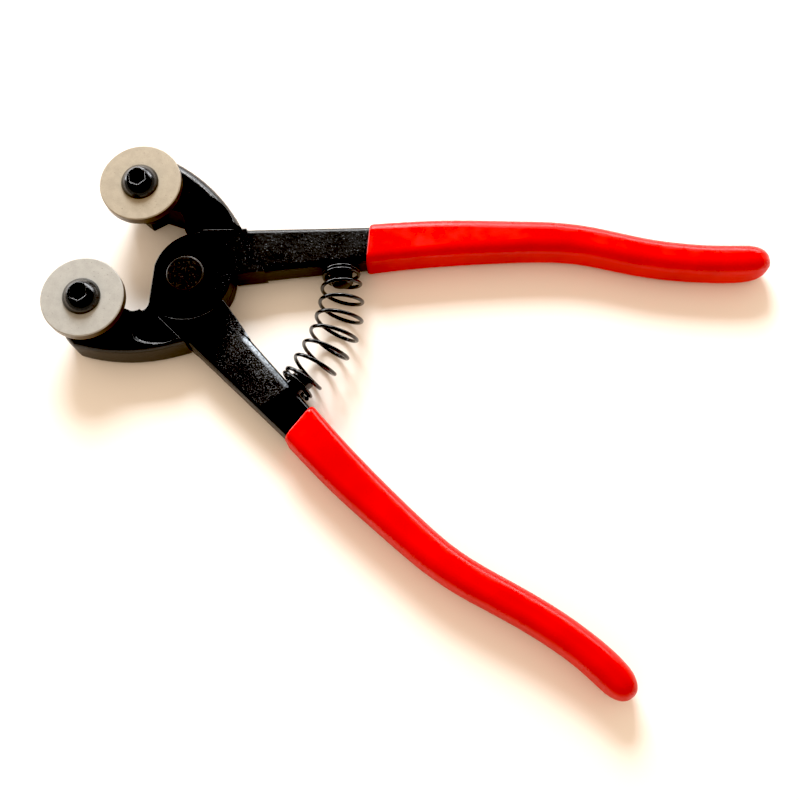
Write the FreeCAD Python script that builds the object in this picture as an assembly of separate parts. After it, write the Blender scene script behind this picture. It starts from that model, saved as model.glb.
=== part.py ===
"""Mosaic glass nippers: two crossing steel halves, two carbide wheels, a return spring.

The nippers lie on their back in the sprung-open position. The origin is on the pivot
axis, on the plane that the tool lies on; +X runs along the handles' bisector, +Z up.
The front half carries the +Y handle and the -Y jaw, the rear half the other two.
"""
import FreeCAD
import Part
import math
import os

Vec = FreeCAD.Vector
UP = Vec(0, 0, 1)

# Driving dimensions, millimetres and degrees.
grip_depth = 10.6            # height of a vinyl grip, which lies on the table
steel_depth = 8.0            # height of the arms and of the two laps together
jaw_depth = 11.3             # height of the jaws
pad_rise = 1.9               # of the round pad that a wheel sits on, above its jaw
pad_radius = 7.0
seat_z = jaw_depth + pad_rise
mid_z = grip_depth / 2       # middle plane of the tool
arm_bottom = mid_z - steel_depth / 2
arm_top = mid_z + steel_depth / 2

lap_radius = 12.6            # half-thickness disc of each half round the pivot
lap_step = 12.9              # where the other half's full thickness begins
lap_gap = 0.05               # running clearance on each side of the middle plane
shoulder_gap = 0.3           # clearance at the open stop
arm_edge_round = 1.5
jaw_edge_round = 2.4
pocket_round = 1.1           # inside corner between a jaw's thin neck and its thick end
pocket_x = -2.8              # the thin neck's outer boundary: a corner, then a long sweep
pocket_top = 22.3
pocket_corner = 2.4
pocket_sweep = 11.7
pocket_slant = 10.0          # degrees that its near side leans
pocket_run = 24.0            # length of that side, well past the jaw
pocket_over = 2.0            # how far the cut stands clear of the jaw's face

arm_end_outer = {1: 42.9, -1: 45.0}         # where each arm's edges go into its grip
arm_end_inner = {1: 46.1, -1: 48.2}
outer_slope = 0.409          # rise of an arm's outer edge
outer_offset = 14.0          # height of that edge above the pivot
inner_slope = 0.514          # rise of an arm's inner edge
inner_offset = -1.6

crotch_begin = {1: 19.5, -1: 24.0}          # where the inside corner leaves each arm's edge
crotch_middle = {1: (14.9, 6.05), -1: (17.4, 6.15)}
crotch_end = {1: 20.5, -1: 13.6}            # degrees round the lap

rivet_radius = 4.0
rivet_bearing = 0.05         # radial running clearance in the rear half
rivet_head_radius = 5.2
front_head_depth = 0.6
front_head_chamfer = 0.36

wheel_centre = (-20.0, 17.7)
wheel_radius = 11.0
wheel_depth = 2.8
wheel_bore = 3.1
wheel_chamfer = 0.25
screw_radius = 3.0
screw_length = 14.0
screw_head_radius = 5.0
screw_head_depth = 3.1
screw_head_rim = 0.5         # upright edge round the foot of the dome
screw_crown_radius = 2.7     # flat ring round the socket
socket_flats = 4.0
socket_depth = 2.0

seat_radius = {1: 41.6, -1: 43.1}   # from the pivot to the middle of each spring seat
seat_angle = 25.3            # of each seat, either side of the bisector
spring_bow = 1.15            # how far its bent axis bulges past an arc round the pivot
spring_end_radius = 4.5      # mean radius of the closed turns on the pegs
spring_waist_radius = 6.15   # mean radius halfway along
spring_wire = 1.0
spring_turns = 10.0
spring_closed_turns = 1.25   # touching turns at each end
spring_closed_gap = 0.05     # left between them
spring_lift = 0.5            # the pegs sit a little above the middle plane
spring_hump = 1.05           # and the wide middle turns rise to clear the table
spring_seat_gap = 0.45       # between an arm and the end of the wire
spring_points_a_turn = 16
peg_radius = 3.0
peg_length = 5.0
peg_sunk = 3.0
peg_chamfer = 0.6

vinyl = 1.4                  # thickness of a grip's wall
grip_start = {1: (42.5, 25.8), -1: (44.7, 26.9)}
grip_path = [(61.4, 34.9), (77.9, 41.6), (94.3, 47.1), (110.7, 49.6)]
grip_ends = {1: [(127.1, 53.6), (143.8, 60.6)], -1: [(127.1, 52.6), (146.0, 60.4)]}
grip_widths = [11.4, 10.8, 9.8, 9.1, 8.8, 8.6, 8.2]
grip_corners = [2.4, 2.9, 3.3, 3.4, 3.4, 3.4, 3.4]     # rounding of the four long edges
mouth_angle = 16.8           # the grip's mouth faces the bisector with the handles closed
mouth_reach = 12.0           # length over which the sections turn square to the handle
lip_steps = [(0.0, 0.94), (0.35, 0.98), (0.9, 1.0), (2.0, 1.0), (4.0, 1.0), (7.0, 1.0)]
tip_length = 7.0             # length of the rounded end
tip_angles = (20, 38, 54, 68, 79, 86)       # where its sections stand, round a quarter turn
tip_fullness = 0.8           # below 1 the end is blunter than an ellipse
grip_spacing = 9.0           # between the sections that shape a grip
tang_end = 6.0               # the steel stops this far short of the grip's end


def plan(start, path, side):
    """A closed plan face. Each step is (end,) for a line or (middle, end) for an arc."""
    def at(point):
        return Vec(point[0], side * point[1], 0)
    edges = []
    here = start
    for step in path + [(start,)]:
        if len(step) == 1:
            edges.append(Part.LineSegment(at(here), at(step[0])).toShape())
        else:
            edges.append(Part.Arc(at(here), at(step[0]), at(step[1])).toShape())
        here = step[-1]
    return Part.Face(Part.Wire(edges))


def raised(face, low, high):
    """A plan face extruded from one height to another."""
    solid = face.extrude(Vec(0, 0, high - low))
    solid.translate(Vec(0, 0, low))
    return solid


def rod(radius, low, high, centre=(0, 0)):
    """An upright cylinder between two heights."""
    return Part.makeCylinder(radius, high - low, Vec(centre[0], centre[1], low))


def outer_edge(x):
    return outer_offset + outer_slope * x


def inner_edge(x):
    return inner_offset + inner_slope * x


def rim_edges(solid, keep):
    """The edges along the top or bottom of an extruded solid that pass a test in plan."""
    found = []
    for edge in solid.Edges:
        first, last = edge.ParameterRange
        spots = [edge.valueAt(first + (last - first) * k / 4) for k in range(5)]
        level = max(abs(edge.tangentAt(first).z), abs(edge.tangentAt(last).z)) < 0.9
        if level and all(keep(spot) for spot in spots):
            found.append(edge)
    return found


def on_lap_circle(angle):
    a = math.radians(angle)
    return (lap_radius * math.cos(a), lap_radius * math.sin(a))


def crotch(side):
    """The inside corner between the arms, from this half's arm to its lap."""
    begin = crotch_begin[side]
    return (begin, inner_edge(begin)), crotch_middle[side], on_lap_circle(crotch_end[side])


def web(side):
    """The full-thickness steel behind the inside corner."""
    start, middle, end = crotch(side)
    path = [(middle, end), ((9.0, 1.0),), ((9.0, inner_edge(15.0)),)]
    return raised(plan(start, path, side), arm_bottom, arm_top)


def arm(side):
    """The straight steel arm from the lap to the grip, at full thickness."""
    start = (-1.0, outer_edge(-1.0))
    path = [((arm_end_outer[side], outer_edge(arm_end_outer[side])),),
            ((arm_end_inner[side], inner_edge(arm_end_inner[side])),),
            ((11.0, inner_edge(11.0)),), ((4.0, 0.0),)]
    solid = raised(plan(start, path, side), arm_bottom, arm_top)

    def along_the_sides(p):
        inside = p.x > 10.9 and abs(p.y) < inner_edge(p.x) + 0.01
        return inside or abs(p.y) > outer_edge(p.x) - 0.01
    return solid.makeFillet(arm_edge_round, rim_edges(solid, along_the_sides))


def boss(side, low, high):
    """The lap: half the steel's thickness, round the pivot and towards the jaw."""
    start, middle, end = crotch(side)
    path = [(middle, end),
            (on_lap_circle(-40.0), on_lap_circle(-100.0)),
            ((-4.0, -16.5),), ((-8.2, -15.4),),
            ((-5.9, -13.4), (-5.9, -10.2)),
            ((-8.9, -0.5),),
            ((-7.6, 6.6), on_lap_circle(97.0)),
            ((-1.0, outer_edge(-1.0)),),
            ((10.0, outer_edge(10.0)),)]
    return raised(plan(start, path, side), low, high)


def jaw(side):
    """The jaw under its wheel, thicker than the arms, with rounded edges and a thin neck."""
    shoulder = outer_offset + shoulder_gap
    path = [((-5.9, 13.4), (-8.2, 15.4)),
            ((-14.6, 15.2),), ((-17.4, 11.8),), ((-21.0, 12.8),),
            ((-24.6, 15.9), (-25.6, 20.6)),
            ((-23.8, 26.3), (-18.8, 29.5)),
            ((-8.6, 27.5), (1.0, 23.2)),
            ((5.4, 20.3), (8.6, shoulder + outer_slope * 8.6)),
            ((-1.5, shoulder - outer_slope * 1.5),), ((-2.0, 8.0),)]
    block = raised(plan((-5.9, 10.2), path, side), 0, jaw_depth)

    rounded = []
    for edge in block.Edges:
        first, last = edge.ParameterRange
        middle = edge.valueAt((first + last) / 2)
        level = abs(edge.valueAt(first).z - edge.valueAt(last).z) < 0.01
        outside = side * middle.y > shoulder + outer_slope * middle.x + 0.02
        if level and outside and (middle.x < -21.0 or side * middle.y > 15.5):
            rounded.append(edge)
    block = block.makeFillet(jaw_edge_round, rounded)
    return block.cut(pocket(side, arm_top, jaw_depth)).cut(pocket(side, arm_bottom, 0))


def around(centre, radius, angle):
    a = math.radians(angle)
    return (centre[0] + radius * math.cos(a), centre[1] + radius * math.sin(a))


def pocket(side, floor, face):
    """What is cut from one face of a jaw to thin its neck, with a rounded inside corner."""
    corner = (pocket_x, pocket_top - pocket_corner)
    sweep = (pocket_x, pocket_top - pocket_sweep)
    begin = around(corner, pocket_corner, 180 - pocket_slant)
    start = around(begin, pocket_run, 270 - pocket_slant)
    path = [(begin,), (around(corner, pocket_corner, 130), around(corner, pocket_corner, 90)),
            (around(sweep, pocket_sweep, 64), around(sweep, pocket_sweep, 38)),
            ((14.0, 16.0),), ((14.0, -4.0),)]
    low, high = sorted((floor, face + math.copysign(pocket_over, face - floor)))
    tool = raised(plan(start, path, side), low, high)

    def by_the_rim(p):
        return abs(p.z - floor) < 0.01 and p.x < 6.7
    return tool.makeFillet(pocket_round, rim_edges(tool, by_the_rim))


def rounded_section(place, along, half_width, half_height, corner):
    """A rounded rectangle that stands across a handle's axis."""
    across = Vec(-along.y, along.x, 0).normalize()
    w = half_width - corner
    h = half_height - corner
    bulge = corner * math.sqrt(0.5)

    def at(a, b):
        return place + across * a + UP * (b + mid_z)
    edges = []
    for sa, sb in ((1, 1), (-1, 1), (-1, -1), (1, -1)):
        side = at(sa * half_width, sb * h)
        flat = at(sa * w, sb * half_height)
        middle = at(sa * (w + bulge), sb * (h + bulge))
        first, last = (side, flat) if sa == sb else (flat, side)
        if edges:
            edges.append(Part.LineSegment(edges[-1].valueAt(edges[-1].LastParameter), first).toShape())
        edges.append(Part.Arc(first, middle, last).toShape())
    start = edges[0].valueAt(edges[0].FirstParameter)
    edges.append(Part.LineSegment(edges[-1].valueAt(edges[-1].LastParameter), start).toShape())
    return Part.Wire(edges)


def handle_axis(side):
    """The curved middle line of a handle, and its parameter at each point of the path."""
    path = [grip_start[side]] + grip_path + grip_ends[side]
    points = [Vec(x, side * y, 0) for x, y in path]
    axis = Part.BSplineCurve()
    axis.interpolate(points)
    return axis, [axis.parameter(point) for point in points]


def handle_bar(side, stations):
    """A smooth bar along a handle. Each station is (distance, scale, inset from the skin)."""
    axis, knots = handle_axis(side)
    first = Vec(*axis.tangent(axis.FirstParameter)[0])
    slant = side * math.radians(mouth_angle) - math.atan2(first.y, first.x)
    wires = []
    for distance, scale, inset in stations:
        u = axis.parameterAtDistance(distance, axis.FirstParameter)
        span = max(i for i in range(len(knots) - 1) if knots[i] <= u + 1e-9)
        t = (u - knots[span]) / (knots[span + 1] - knots[span])
        width = grip_widths[span] * (1 - t) + grip_widths[span + 1] * t
        corner = grip_corners[span] * (1 - t) + grip_corners[span + 1] * t
        turn = slant * max(0.0, 1 - distance / mouth_reach)
        along = Vec(*axis.tangent(u)[0])
        square = Vec(along.x * math.cos(turn) - along.y * math.sin(turn),
                     along.x * math.sin(turn) + along.y * math.cos(turn), 0)
        wires.append(rounded_section(axis.value(u), square,
                                     (scale * width / 2 - inset) / math.cos(turn),
                                     scale * grip_depth / 2 - inset, scale * corner - inset / 2))
    return Part.makeLoft(wires, True, False)


def handle_length(side):
    return handle_axis(side)[0].length()


def tang(side):
    """The steel core of a handle, which the grip is drawn over."""
    end = handle_length(side) - tang_end
    count = math.ceil(end / grip_spacing)
    return handle_bar(side, [(end * k / count, 1.0, vinyl) for k in range(count + 1)])


def grip(side):
    """A vinyl sleeve with a rounded mouth and a closed, rounded end."""
    straight = handle_length(side) - tip_length
    stations = [(distance, scale, 0.0) for distance, scale in lip_steps]
    last = lip_steps[-1][0]
    count = math.ceil((straight - last) / grip_spacing)
    for k in range(1, count + 1):
        stations.append((last + (straight - last) * k / count, 1.0, 0.0))
    for angle in tip_angles:
        a = math.radians(angle)
        stations.append((straight + tip_length * math.sin(a), math.cos(a) ** tip_fullness, 0.0))
    return handle_bar(side, stations).cut(tang(side)).cut(arm(side))


def seat(side):
    """The middle of a spring seat on an arm's inner edge, and the way into the gap."""
    a = math.radians(seat_angle)
    out = seat_radius[side]
    point = Vec(out * math.cos(a), side * out * math.sin(a), mid_z + spring_lift)
    return point, Vec(math.sin(a), -side * math.cos(a), 0)


def peg(side):
    """A plain pin, pressed into the arm, that holds one end of the spring."""
    point, inward = seat(side)
    pin = Part.makeCylinder(peg_radius, peg_length + peg_sunk, point - inward * peg_sunk, inward)
    rim = [e for e in pin.Edges if (e.CenterOfMass - point).dot(inward) > peg_length - 0.01]
    return pin.makeChamfer(peg_chamfer, rim)


def half(side, lap_low, lap_high, other_low, other_high):
    """One forging: arm, lap, jaw on the far side, and the core of the handle."""
    body = arm(side).fuse(web(side)).fuse(jaw(-side))
    body = body.cut(rod(lap_step, other_low, other_high))
    body = body.fuse(boss(side, lap_low, lap_high)).fuse(tang(side))
    under_wheel = (wheel_centre[0], -side * wheel_centre[1])
    body = body.fuse(rod(pad_radius, mid_z, seat_z, under_wheel))
    body = body.cut(rod(screw_radius, seat_z + wheel_depth - screw_length, seat_z, under_wheel))
    return body.cut(peg(side)).removeSplitter()


def front_half():
    body = half(1, mid_z + lap_gap, arm_top, -1, mid_z + lap_gap)
    return body.cut(rod(rivet_radius, 0, grip_depth))


def rear_half():
    body = half(-1, arm_bottom, mid_z - lap_gap, mid_z - lap_gap, jaw_depth + 1)
    return body.cut(rod(rivet_radius + rivet_bearing, 0, grip_depth))


def pivot_rivet():
    """A shank with a flat factory head behind and a low formed head in front."""
    rivet = rod(rivet_head_radius, 0, arm_bottom - lap_gap)
    rivet = rivet.fuse(rod(rivet_radius, 0, arm_top))
    head = rod(rivet_head_radius, arm_top, arm_top + front_head_depth)
    rim = [e for e in head.Edges if e.CenterOfMass.z > arm_top + front_head_depth - 0.01]
    return rivet.fuse(head.makeChamfer(front_head_chamfer, rim)).removeSplitter()


def wheel(side):
    """A carbide cutting disc with a slightly broken rim."""
    top = seat_z + wheel_depth
    centre = (wheel_centre[0], side * wheel_centre[1])
    blank = rod(wheel_radius, seat_z, top, centre)
    rims = [e for e in blank.Edges if isinstance(e.Curve, Part.Circle)]
    blank = blank.makeChamfer(wheel_chamfer, rims)
    return blank.cut(rod(wheel_bore, seat_z, top, centre))


def wheel_screw(side):
    """A button-head socket screw that clamps a wheel to its jaw."""
    rise = screw_head_depth
    rim = screw_head_rim
    crown = screw_crown_radius
    drop = (screw_head_radius ** 2 + rim ** 2 - crown ** 2 - rise ** 2) / (2 * (rim - rise))
    dome_radius = math.hypot(screw_head_radius, rim - drop)
    half_way = (math.atan2(rim - drop, screw_head_radius) + math.atan2(rise - drop, crown)) / 2
    points = [Vec(0, 0, -screw_length), Vec(screw_radius, 0, -screw_length),
              Vec(screw_radius, 0, 0), Vec(screw_head_radius, 0, 0), Vec(screw_head_radius, 0, rim)]
    edges = [Part.LineSegment(a, b).toShape() for a, b in zip(points, points[1:])]
    shoulder = Vec(dome_radius * math.cos(half_way), 0, drop + dome_radius * math.sin(half_way))
    edges.append(Part.Arc(points[-1], shoulder, Vec(crown, 0, rise)).toShape())
    edges.append(Part.LineSegment(Vec(crown, 0, rise), Vec(0, 0, rise)).toShape())
    edges.append(Part.LineSegment(Vec(0, 0, rise), points[0]).toShape())
    screw = Part.Face(Part.Wire(edges)).revolve(Vec(0, 0, 0), UP, 360)
    corner = socket_flats / math.sqrt(3)
    ring = [Vec(corner * math.cos(k * math.pi / 3), corner * math.sin(k * math.pi / 3),
                rise - socket_depth) for k in range(7)]
    screw = screw.cut(Part.Face(Part.makePolygon(ring)).extrude(Vec(0, 0, socket_depth + 1)))
    screw.translate(Vec(wheel_centre[0], side * wheel_centre[1], seat_z + wheel_depth))
    return screw


def return_spring():
    """A compression coil with closed ends, bent round the pivot and bowed away from it."""
    middle = (seat_radius[1] + seat_radius[-1]) / 2
    reach = math.radians(seat_angle) - (spring_wire / 2 + spring_seat_gap) / middle
    closed = spring_closed_turns / spring_turns
    packed = spring_closed_turns * (spring_wire + spring_closed_gap) / (2 * reach * middle)
    steps = int(spring_turns * spring_points_a_turn)
    points = []
    for k in range(steps + 1):
        t = k / steps
        if t < closed:
            share = packed * t / closed
        elif t > 1 - closed:
            share = 1 - packed * (1 - t) / closed
        else:
            share = packed + (1 - 2 * packed) * (t - closed) / (1 - 2 * closed)
        swell = math.sin(math.pi * share)
        coil = spring_end_radius + (spring_waist_radius - spring_end_radius) * swell
        turn = 2 * math.pi * spring_turns * t
        a = reach * (2 * share - 1)
        out = seat_radius[-1] * (1 - share) + seat_radius[1] * share
        out += spring_bow * swell ** 2 + coil * math.cos(turn)
        rise = mid_z + spring_lift + spring_hump * swell
        points.append(Vec(out * math.cos(a), out * math.sin(a), rise - coil * math.sin(turn)))
    path = Part.BSplineCurve()
    path.interpolate(points)
    wire = Part.Wire([path.toShape()])
    start = path.value(path.FirstParameter)
    tangent = Vec(*path.tangent(path.FirstParameter)[0])
    circle = Part.Wire([Part.Circle(start, tangent, spring_wire / 2).toShape()])
    return wire.makePipeShell([circle], True, True)


def make_parts():
    return {
        "front_half": front_half(),
        "rear_half": rear_half(),
        "pivot_rivet": pivot_rivet(),
        "front_wheel": wheel(-1),
        "rear_wheel": wheel(1),
        "front_wheel_screw": wheel_screw(-1),
        "rear_wheel_screw": wheel_screw(1),
        "front_spring_peg": peg(1),
        "rear_spring_peg": peg(-1),
        "return_spring": return_spring(),
        "front_grip": grip(1),
        "rear_grip": grip(-1),
    }


os.makedirs("parts", exist_ok=True)
for name, solid in make_parts().items():
    solid.exportStep("parts/" + name + ".step")
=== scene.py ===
"""Mosaic glass nippers, lying open on a pale floor. Lengths are in metres, in the CAD frame."""
import math

import bpy
from mathutils import Euler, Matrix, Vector


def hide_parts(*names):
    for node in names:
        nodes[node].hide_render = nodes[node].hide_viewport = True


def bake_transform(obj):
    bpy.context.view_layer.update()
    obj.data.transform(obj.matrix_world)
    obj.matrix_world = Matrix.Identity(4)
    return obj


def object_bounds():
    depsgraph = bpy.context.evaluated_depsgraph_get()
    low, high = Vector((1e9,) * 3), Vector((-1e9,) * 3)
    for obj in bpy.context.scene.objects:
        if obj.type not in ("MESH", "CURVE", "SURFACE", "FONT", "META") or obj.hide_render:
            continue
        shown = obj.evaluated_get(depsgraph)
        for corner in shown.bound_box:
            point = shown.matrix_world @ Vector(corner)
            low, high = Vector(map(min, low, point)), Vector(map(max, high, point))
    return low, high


MM = 0.001
BLACK_LEVEL = 0.027          # what the view settings take for black
BEVEL_SAMPLES = 6            # rays for each rounded edge in a material

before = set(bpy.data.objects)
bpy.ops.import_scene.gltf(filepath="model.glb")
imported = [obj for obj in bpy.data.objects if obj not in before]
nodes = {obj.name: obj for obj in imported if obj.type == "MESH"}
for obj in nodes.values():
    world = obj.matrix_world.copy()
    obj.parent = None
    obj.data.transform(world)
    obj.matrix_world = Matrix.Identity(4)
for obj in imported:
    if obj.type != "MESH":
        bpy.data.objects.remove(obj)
cad_low, cad_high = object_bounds()

# ---------------------------------------------------------------- camera

CAMERA_PLACE = (106.1 * MM, -84.7 * MM, 269.5 * MM)
CAMERA_TURN = (15.72, 2.06, 21.85)
CAMERA_LENS = 47.8
CAMERA_SHIFT = 0.041


def add_camera():
    data = bpy.data.cameras.new("camera")
    data.lens = CAMERA_LENS
    data.sensor_width = 36
    data.shift_y = CAMERA_SHIFT
    data.clip_start = 0.01
    data.clip_end = 10
    camera = bpy.data.objects.new("camera", data)
    camera.location = CAMERA_PLACE
    camera.rotation_euler = Euler([math.radians(a) for a in CAMERA_TURN])
    bpy.context.scene.collection.objects.link(camera)
    bpy.context.scene.camera = camera


# ---------------------------------------------------------------- material nodes

class Look:
    """One Principled material, built from noise in the object's own coordinates."""

    def __init__(self, name):
        self.material = bpy.data.materials.new(name)
        self.material.use_nodes = True
        self.tree = self.material.node_tree
        self.tree.nodes.clear()
        out = self.tree.nodes.new("ShaderNodeOutputMaterial")
        self.shader = self.tree.nodes.new("ShaderNodeBsdfPrincipled")
        self.tree.links.new(self.shader.outputs[0], out.inputs[0])
        self.place = self.tree.nodes.new("ShaderNodeTexCoord").outputs["Object"]
        self.geometry = self.tree.nodes.new("ShaderNodeNewGeometry")

    def put(self, socket, value):
        if isinstance(value, bpy.types.NodeSocket):
            self.tree.links.new(value, socket)
        else:
            if isinstance(value, (tuple, list)) and socket.type == "RGBA" and len(value) == 3:
                value = (*value, 1)
            socket.default_value = value

    def add(self, kind, inputs=None, output=0, **settings):
        node = self.tree.nodes.new(kind)
        for key, value in settings.items():
            setattr(node, key, value)
        for key, value in (inputs or {}).items():
            self.put(node.inputs[key], value)
        return node.outputs[output]

    def set(self, **values):
        for key, value in values.items():
            self.put(self.shader.inputs[key.replace("_", " ")], value)

    def noise(self, size, detail=2.0, roughness=0.5, stretch=None, shift=0.0):
        """Noise from 0 to 1 whose features are about size metres across."""
        scale = [1 / size / s for s in (stretch or (1, 1, 1))]
        at = self.add("ShaderNodeMapping", {"Vector": self.place, "Scale": scale,
                                            "Location": (shift, shift * 0.7, shift * 0.3)})
        return self.add("ShaderNodeTexNoise", {"Vector": at, "Scale": 1.0, "Detail": detail,
                                               "Roughness": roughness})

    def math(self, operation, a, b=0.0):
        return self.add("ShaderNodeMath", {0: a, 1: b}, operation=operation)

    def times(self, first, *others):
        """The product of any number of values."""
        for other in others:
            first = self.math("MULTIPLY", first, other)
        return first

    def span(self, value, low, high, to_low=0.0, to_high=1.0):
        """Maps value smoothly from low..high to to_low..to_high."""
        return self.add("ShaderNodeMapRange",
                        {"Value": value, "From Min": low, "From Max": high, "To Min": to_low,
                         "To Max": to_high}, interpolation_type="SMOOTHSTEP")

    def blend(self, share, first, second):
        return self.add("ShaderNodeMix", {0: share, 6: first, 7: second}, 2, data_type="RGBA")

    def mix(self, share, first, second):
        return self.add("ShaderNodeMix", {0: share, 2: first, 3: second}, 0, data_type="FLOAT")

    def rounded(self, radius):
        """The normal, with every edge rounded off at a radius."""
        return self.add("ShaderNodeBevel", {"Radius": radius}, samples=BEVEL_SAMPLES)

    def edges(self, radius):
        """1 on sharp outer and inner edges, 0 on open faces."""
        dot = self.add("ShaderNodeVectorMath",
                       {0: self.rounded(radius), 1: self.geometry.outputs["Normal"]},
                       "Value", operation="DOT_PRODUCT")
        return self.span(self.math("SUBTRACT", 1.0, dot), 0.01, 0.12)

    def bump(self, height, distance, strength, normal=None):
        inputs = {"Height": height, "Distance": distance, "Strength": strength}
        if normal is not None:
            inputs["Normal"] = normal
        return self.add("ShaderNodeBump", inputs)

    def tones(self, value, first, second):
        """first to second as a noise goes from dark to light."""
        return self.blend(self.span(value, 0.3, 0.7), first, second)

    def axis(self, name):
        return self.add("ShaderNodeSeparateXYZ", {0: self.place}, name)

    def facing_up(self):
        """The upward part of the surface's normal, the same on the back as on the front."""
        return self.math("ABSOLUTE", self.add("ShaderNodeSeparateXYZ",
                                              {0: self.geometry.outputs["Normal"]}, "Z"))

    def radius(self):
        """The distance from the pivot's axis."""
        flat = self.add("ShaderNodeVectorMath", {0: self.place, 1: (1, 1, 0)},
                        operation="MULTIPLY")
        return self.add("ShaderNodeVectorMath", {0: flat}, "Value", operation="LENGTH")


# ---------------------------------------------------------------- materials

def black_steel(name, blast_start, blast_end, sparkle, lean, rubbed_and_sheen):
    """Glossy black over a drop forging: blasted flats on the arms, smooth jaws and rims.

    The blasting starts at blast_start along x and ends blast_end from the pivot. An arm's inner
    edge falls by lean in y for each step in x; the last flag paints a pale bluish highlight along
    that edge, and the blasted flats carry pale dots as painted glints, denser towards it.
    """
    look = Look(name)
    along = look.axis("X")
    across = look.math("ADD", look.math("MULTIPLY", along, lean), look.axis("Y"))
    ahead = look.span(along, blast_start - 4 * MM, blast_start + 4 * MM)
    reach = look.span(look.radius(), blast_end - 0.4 * MM, blast_end + 0.4 * MM, 1.0, 0.0)
    flat = look.span(look.facing_up(), 0.90, 0.99)
    patchy = look.span(look.noise(8 * MM, 3), 0.30, 0.62, 0.55, 1.0)
    blasted = look.times(ahead, reach, flat, patchy)
    grain = look.noise(0.55 * MM, 3, 0.65)
    pits = look.noise(1.7 * MM, 2, 0.5, shift=3)
    # painted sheen: the pale dots grow denser towards the arm's inner edge
    painted_sheen_inwards = look.span(across, -7 * MM, 2 * MM, 0.35, 1.0)
    # pale bluish dots on the blasted flats: partly the blasting's grain, partly painted glints
    specks_and_glints = look.span(look.noise(0.32 * MM, 2, 0.6, shift=9), 0.68 - sparkle, 0.74 - sparkle / 2)
    wear = look.times(look.edges(0.45 * MM), look.span(look.noise(3 * MM, 4), 0.40, 0.65))

    base = look.blend(look.span(look.noise(14 * MM, 3), 0.35, 0.65),
                      (0.0012, 0.0011, 0.0012), (0.0040, 0.0031, 0.0026))
    base = look.blend(look.times(blasted, 0.85), base, (0.0062, 0.0052, 0.0045))
    base = look.blend(look.times(specks_and_glints, blasted, painted_sheen_inwards), base, (0.25, 0.29, 0.34))
    base = look.blend(look.times(wear, 0.5), base, (0.06, 0.056, 0.052))
    # painted highlight: a pale bluish streak along the arm's inner edge stands in for a
    # reflection there
    if rubbed_and_sheen:
        painted_edge_highlight = look.times(
            look.span(along, 21.6 * MM, 22.6 * MM),
            look.span(along, 24 * MM, 36 * MM, 0.9, 0.30),
            reach,
            look.span(across, -0.7 * MM, 0.3 * MM),
            look.span(look.facing_up(), 0.72, 0.90),
            look.span(look.noise(0.6 * MM, 3, 0.6, shift=5), 0.34, 0.60, 0.25, 1.0))
        base = look.blend(painted_edge_highlight, base, (0.50, 0.62, 0.76))

    side = look.span(look.facing_up(), 0.60, 0.0)
    rough = look.span(look.noise(5 * MM, 4, 0.6), 0.3, 0.7, 0.17, 0.30)
    rough = look.mix(side, look.mix(blasted, rough, 0.31), 0.45)
    normal = look.bump(pits, 0.14 * MM, 0.35, look.rounded(0.5 * MM))
    normal = look.bump(grain, look.mix(blasted, 0.010 * MM, 0.08 * MM), 0.9, normal)
    look.set(Base_Color=base, Roughness=look.mix(wear, rough, 0.28), Normal=normal)
    look.set(Metallic=0.0, Specular_IOR_Level=0.45)
    return look.material


def rivet_steel():
    """The rivet's heads, turned and then blasted and blackened with the halves."""
    look = Look("rivet_steel")
    grain = look.noise(0.6 * MM, 3, 0.65)
    # paler dots on the head: partly grain, partly painted glints
    specks_and_glints = look.span(look.noise(0.5 * MM, 1.5, 0.5, shift=9), 0.60, 0.70)
    # the head's edges are paler: partly wear, partly a painted highlight ring
    wear = look.edges(0.4 * MM)
    base = look.tones(look.noise(2.5 * MM, 3),
                      (0.0030, 0.0021, 0.0016), (0.0075, 0.0050, 0.0036))
    base = look.blend(look.times(specks_and_glints, 0.35), base, (0.10, 0.085, 0.07))
    base = look.blend(look.times(wear, 0.9), base, (0.13, 0.12, 0.11))
    normal = look.bump(grain, 0.07 * MM, 0.9, look.rounded(0.35 * MM))
    look.set(Base_Color=base, Roughness=look.mix(wear, 0.32, 0.22), Normal=normal)
    look.set(Metallic=0.0, Specular_IOR_Level=0.45)
    return look.material


def carbide(name, x, y, tint):
    """Sintered carbide: matt fine-grained faces, and a ground rim round (x, y), painted darker as
    shade.
    """
    look = Look(name)
    rim = look.span(look.facing_up(), 0.75, 0.45)
    grain = look.noise(0.28 * MM, 2, 0.6, shift=2)
    pits = look.span(look.noise(0.55 * MM, 1, 0.5, shift=6), 0.70, 0.75)
    pale, dark, grey = ([share * c for c in tint] for share in (1.07, 0.93, 0.70))
    face = look.tones(look.noise(2.2 * MM, 4, 0.6), dark, pale)
    face = look.blend(look.span(grain, 0.35, 0.75, 0.0, 0.25), face, grey)
    face = look.blend(look.times(pits, 0.5), face, (0.11, 0.095, 0.08))
    lines = look.noise(0.35 * MM, 2, 0.6, stretch=(9, 9, 0.35))
    # painted shade: the rim is darker brown than the faces, partly ground carbide, partly shade
    side = look.tones(lines, (0.055, 0.040, 0.026), (0.15, 0.118, 0.082))
    base = look.blend(rim, face, side)
    base = look.blend(look.times(look.edges(0.25 * MM), 0.45), base, (0.42, 0.39, 0.34))
    from_middle = look.add("ShaderNodeVectorMath", {0: look.place, 1: (x, y, 0)},
                           operation="SUBTRACT")
    rings = look.add("ShaderNodeTexWave",
                     {"Vector": from_middle, "Scale": 420.0, "Distortion": 3.0, "Detail": 2.0,
                      "Detail Scale": 2.0},
                     1, wave_type="RINGS", rings_direction="Z")
    normal = look.bump(rings, 0.006 * MM, 0.5, look.rounded(0.16 * MM))
    normal = look.bump(grain, 0.02 * MM, 0.6, normal)
    look.set(Base_Color=base, Roughness=look.mix(rim, 0.48, 0.34),
             Metallic=look.mix(rim, 0.10, 0.45), Normal=normal)
    return look.material


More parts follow.
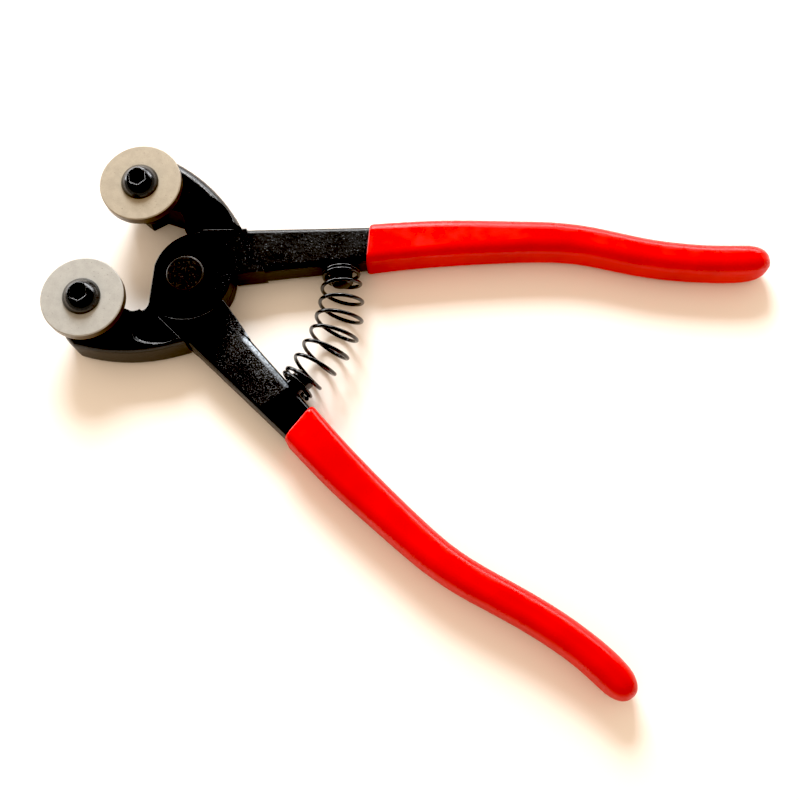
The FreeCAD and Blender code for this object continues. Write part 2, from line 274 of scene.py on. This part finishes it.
def screw_steel():
    """Black oxide on a machine screw: glossy dome, faint turning marks, a worn socket."""
    look = Look("black_screw_steel")
    smudge = look.noise(1.6 * MM, 4, 0.6)
    base = look.tones(smudge, (0.0012, 0.0012, 0.0014), (0.0045, 0.0042, 0.0042))
    base = look.blend(look.times(look.edges(0.22 * MM), 0.5), base, (0.10, 0.096, 0.092))
    normal = look.bump(look.noise(0.9 * MM, 3, 0.6), 0.03 * MM, 0.5, look.rounded(0.8 * MM))
    look.set(Base_Color=base, Roughness=look.span(smudge, 0.3, 0.7, 0.12, 0.24), Normal=normal)
    look.set(Metallic=0.0, Specular_IOR_Level=0.7)
    return look.material


def spring_steel():
    """Black spring wire with faint drawing marks, brighter in patches where coils rub."""
    look = Look("spring_steel")
    smudge = look.noise(1.2 * MM, 3, 0.6)
    rubbed_and_sheen = look.span(look.noise(2.8 * MM, 3, 0.6, shift=4), 0.60, 0.76)
    base = look.tones(smudge, (0.0014, 0.0014, 0.0016), (0.0050, 0.0046, 0.0043))
    base = look.blend(look.times(rubbed_and_sheen, 0.4), base, (0.05, 0.047, 0.044))
    normal = look.bump(look.noise(0.3 * MM, 3, 0.6), 0.010 * MM, 0.6)
    look.set(Base_Color=base, Roughness=look.span(smudge, 0.3, 0.7, 0.12, 0.24), Normal=normal)
    look.set(Metallic=0.0, Specular_IOR_Level=0.7)
    return look.material


def red_vinyl():
    """Dipped red vinyl: soft gloss that varies slowly, duller on the sides."""
    look = Look("red_vinyl")
    base = look.tones(look.noise(16 * MM, 3), (0.50, 0.0040, 0.0030), (0.60, 0.0075, 0.0055))
    side = look.span(look.facing_up(), 0.60, 0.0)
    rough = look.mix(side, look.span(look.noise(4 * MM, 4, 0.6), 0.3, 0.7, 0.24, 0.35), 0.62)
    look.set(Base_Color=base, Roughness=rough)
    look.set(Specular_IOR_Level=0.30, Coat_Weight=0.08, Coat_Roughness=0.15)
    return look.material


def paint(node, material):
    for slot in nodes[node].material_slots:
        slot.material = material


# ---------------------------------------------------------------- return spring

FRONT_SEAT = 41.6 * MM       # pivot axis to the middle of each spring seat
REAR_SEAT = 43.1 * MM
MIDDLE_SEAT = (FRONT_SEAT + REAR_SEAT) / 2
SEAT_ANGLE = 25.3            # degrees between a seat's plane and the middle plane
SPRING_MID_Z = 5.8 * MM      # height of the coil's middle line at its ends
HUMP = 1.05 * MM             # and how much higher it is half way along
END_RADIUS = 4.5 * MM        # wire's middle line, at the end coils
WAIST_RADIUS = 6.15 * MM     # wire's middle line, half way along
WIRE = 1.0 * MM              # across the wire
SEAT_GAP = 0.40 * MM         # between the end coil and its seat
BOW = 1.15 * MM              # how far the middle bends away from the pivot
TURNS = 10.0
CLOSED = 1.1                 # turns that lie close together at each end
OPENING = 0.9                # turns over which the pitch grows to its full size
CLOSED_GAP = 1.03            # pitch of the closed turns, in wires
STEPS = 56                   # points along the wire for each turn
SIDES = 16                   # points round the wire
BROKEN = 0.18                # break at the wire's cut edge, as a share of its radius


def pitch_at(turn):
    """How wide the coil is pitched at a turn, from 0, closed, to 1."""
    inner = min(turn, TURNS - turn) - CLOSED
    t = max(0.0, min(1.0, inner / OPENING))
    return t * t * (3 - 2 * t)


def spring_points():
    """The wire's middle line: closed ends, open middle, bent round the pivot and bowed out."""
    reach = math.radians(SEAT_ANGLE) - (WIRE / 2 + SEAT_GAP) / MIDDLE_SEAT
    count = int(TURNS * STEPS)
    closed_pitch = (WIRE * CLOSED_GAP) / (2 * reach * MIDDLE_SEAT)
    opened = sum(pitch_at(TURNS * (k + 0.5) / count) for k in range(count)) / STEPS
    wide_pitch = (1 - closed_pitch * TURNS) / opened
    share = 0.0
    points = []
    for k in range(count + 1):
        swell = math.sin(math.pi * share)
        coil = END_RADIUS + (WAIST_RADIUS - END_RADIUS) * swell
        turn = 2 * math.pi * k / STEPS
        a = reach * (2 * share - 1)
        out = REAR_SEAT + (FRONT_SEAT - REAR_SEAT) * share
        out += BOW * swell ** 2 + coil * math.cos(turn)
        points.append(Vector((out * math.cos(a), out * math.sin(a),
                              SPRING_MID_Z + HUMP * swell - coil * math.sin(turn))))
        middle = TURNS * (k + 0.5) / count
        share += (closed_pitch + wide_pitch * pitch_at(middle)) / STEPS
    return points


def tube(name, points, radius, material):
    """A round wire along points, with its ends cut square and slightly broken at the edge."""
    verts = []
    faces = []
    count = len(points)
    tangents = [(points[min(k + 1, count - 1)] - points[max(k - 1, 0)]).normalized()
                for k in range(count)]
    side = tangents[0].orthogonal().normalized()
    rings = []
    for k, (point, along) in enumerate(zip(points, tangents)):
        side = (side - along * side.dot(along)).normalized()
        rings.append((point, along, side.copy(), radius))
    first, last = rings[0], rings[-1]
    broken = radius * BROKEN
    rings[0] = (first[0] + first[1] * broken, *first[1:])
    rings.insert(0, (first[0], first[1], first[2], radius - broken))
    rings[-1] = (last[0] - last[1] * broken, *last[1:])
    rings.append((last[0], last[1], last[2], radius - broken))
    for point, along, side, size in rings:
        up = along.cross(side)
        for n in range(SIDES):
            a = 2 * math.pi * n / SIDES
            verts.append(point + (side * math.cos(a) + up * math.sin(a)) * size)
    for k in range(len(rings) - 1):
        for n in range(SIDES):
            m = (n + 1) % SIDES
            faces.append((k * SIDES + n, k * SIDES + m, (k + 1) * SIDES + m, (k + 1) * SIDES + n))
    faces.append(tuple(reversed(range(SIDES))))
    faces.append(tuple(range((len(rings) - 1) * SIDES, len(rings) * SIDES)))
    mesh = bpy.data.meshes.new(name)
    mesh.from_pydata(verts, [], faces)
    mesh.polygons.foreach_set("use_smooth", [len(p.vertices) == 4 for p in mesh.polygons])
    mesh.validate()
    mesh.materials.append(material)
    piece = bpy.data.objects.new(name, mesh)
    bpy.context.scene.collection.objects.link(piece)
    return piece


def add_spring():
    piece = tube("return_spring_coil", spring_points(), WIRE / 2, spring_steel())
    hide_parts("return_spring")
    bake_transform(piece)


# ---------------------------------------------------------------- floor and light

FLOOR_REACH = 3.0            # half the floor's width
ROOM_LIGHT = (1.05, 0.80, 0.58, 1)   # from all round, on anything that isn't a reflection
ROOM_WALL = (0.60, 0.58, 0.55, 1)    # what gloss reflects of the room's walls
ROOM_OPEN = (0.0, 0.0, 0.0, 1)       # and above them
WALL_FADES = 0.22            # the walls' top edge is soft: where it begins and ends, as the
WALL_ENDS = 0.55             # upward part of the direction looked in
WHITE = (1.0, 1.0, 1.0)
SKY = (0.95, 0.97, 1.0)


def add_floor():
    z = cad_low.z
    corners = [(x * FLOOR_REACH, y * FLOOR_REACH, z)
               for x, y in ((-1, -1), (1, -1), (1, 1), (-1, 1))]
    mesh = bpy.data.meshes.new("floor")
    mesh.from_pydata(corners, [], [(0, 1, 2, 3)])
    look = Look("floor")
    base = look.tones(look.noise(60 * MM, 3), (0.870, 0.862, 0.850), (0.880, 0.872, 0.860))
    look.set(Base_Color=base, Roughness=0.75, Specular_IOR_Level=0.25,
             Normal=look.bump(look.noise(0.8 * MM, 3), 0.01 * MM, 0.3))
    mesh.materials.append(look.material)
    floor = bpy.data.objects.new("floor", mesh)
    bpy.context.scene.collection.objects.link(floor)


def add_light(name, direction, distance, size, power, colour, diffuse=True, glossy=True):
    """A soft oblong light that looks at the middle of the object."""
    middle = (cad_low + cad_high) / 2
    data = bpy.data.lights.new(name, "AREA")
    data.shape = "RECTANGLE"
    data.size, data.size_y = size
    data.energy = power
    data.color = colour
    light = bpy.data.objects.new(name, data)
    away = Vector(direction).normalized()
    light.location = middle + away * distance
    light.rotation_euler = away.to_track_quat("Z", "Y").to_euler()
    light.visible_diffuse = diffuse
    light.visible_glossy = glossy
    bpy.context.scene.collection.objects.link(light)


def add_world():
    """Warm light from all round; what gloss reflects is a room with pale walls and no ceiling."""
    world = bpy.data.worlds.new("studio")
    world.use_nodes = True
    new = world.node_tree.nodes.new
    link = world.node_tree.links.new
    background = world.node_tree.nodes["Background"]
    up = new("ShaderNodeSeparateXYZ")
    link(new("ShaderNodeTexCoord").outputs["Generated"], up.inputs[0])
    height = new("ShaderNodeMapRange")
    height.interpolation_type = "SMOOTHSTEP"
    height.inputs["From Min"].default_value = WALL_FADES
    height.inputs["From Max"].default_value = WALL_ENDS
    link(up.outputs["Z"], height.inputs["Value"])
    room = new("ShaderNodeMix")
    room.data_type = "RGBA"
    room.inputs[6].default_value = ROOM_WALL
    room.inputs[7].default_value = ROOM_OPEN
    link(height.outputs["Result"], room.inputs[0])
    pick = new("ShaderNodeMix")
    pick.data_type = "RGBA"
    pick.inputs[6].default_value = ROOM_LIGHT
    link(room.outputs[2], pick.inputs[7])
    link(new("ShaderNodeLightPath").outputs["Is Glossy Ray"], pick.inputs[0])
    link(pick.outputs[2], background.inputs["Color"])
    background.inputs["Strength"].default_value = 1.0
    bpy.context.scene.world = world


def grade():
    """Standard colours, with the contrast of a bright product shot: blacks fall to black."""
    view = bpy.context.scene.view_settings
    view.view_transform = "Standard"
    view.use_curve_mapping = True
    view.curve_mapping.black_level = [BLACK_LEVEL] * 3
    view.curve_mapping.update()


# ---------------------------------------------------------------- the scene

WHEEL_X, WHEEL_Y = -20.0 * MM, 17.7 * MM     # middle of the rear wheel; the front one is at -y

add_camera()
grade()
add_world()
add_floor()
add_light("key", (-0.45, 0.80, 0.62), 0.80, (0.36, 0.28), 10.5, WHITE, glossy=False)
add_light("glint", (-0.45, 0.80, 0.70), 0.80, (0.24, 0.12), 2.6, WHITE, diffuse=False)
add_light("top_wall", (-0.15, 1.0, 0.42), 0.90, (1.3, 0.20), 8.0, SKY, diffuse=False)
add_light("left_wall", (-1.0, 0.40, 0.20), 0.80, (0.7, 0.24), 4.5, SKY, diffuse=False)

paint("front_half", black_steel("black_steel_front", 8 * MM, 70 * MM, 0.03, 0.0, rubbed_and_sheen=False))
# the rear half gets the painted highlight along its arm's inner edge
paint("rear_half", black_steel("black_steel_rear", 18 * MM, 43 * MM, 0.15, 0.514, rubbed_and_sheen=True))
# painted light: the rear wheel is tinted warmer than the front to stand in for the warmer light
# on it
paint("front_wheel", carbide("carbide_front", WHEEL_X, -WHEEL_Y, (0.352, 0.362, 0.350)))
paint("rear_wheel", carbide("carbide_rear", WHEEL_X, WHEEL_Y, (0.340, 0.308, 0.245)))
paint("pivot_rivet", rivet_steel())
black_screws = screw_steel()
pins = spring_steel()
vinyl = red_vinyl()
for half in ("front", "rear"):
    paint(half + "_wheel_screw", black_screws)
    paint(half + "_spring_peg", pins)
    paint(half + "_grip", vinyl)
add_spring()

bpy.context.view_layer.update()
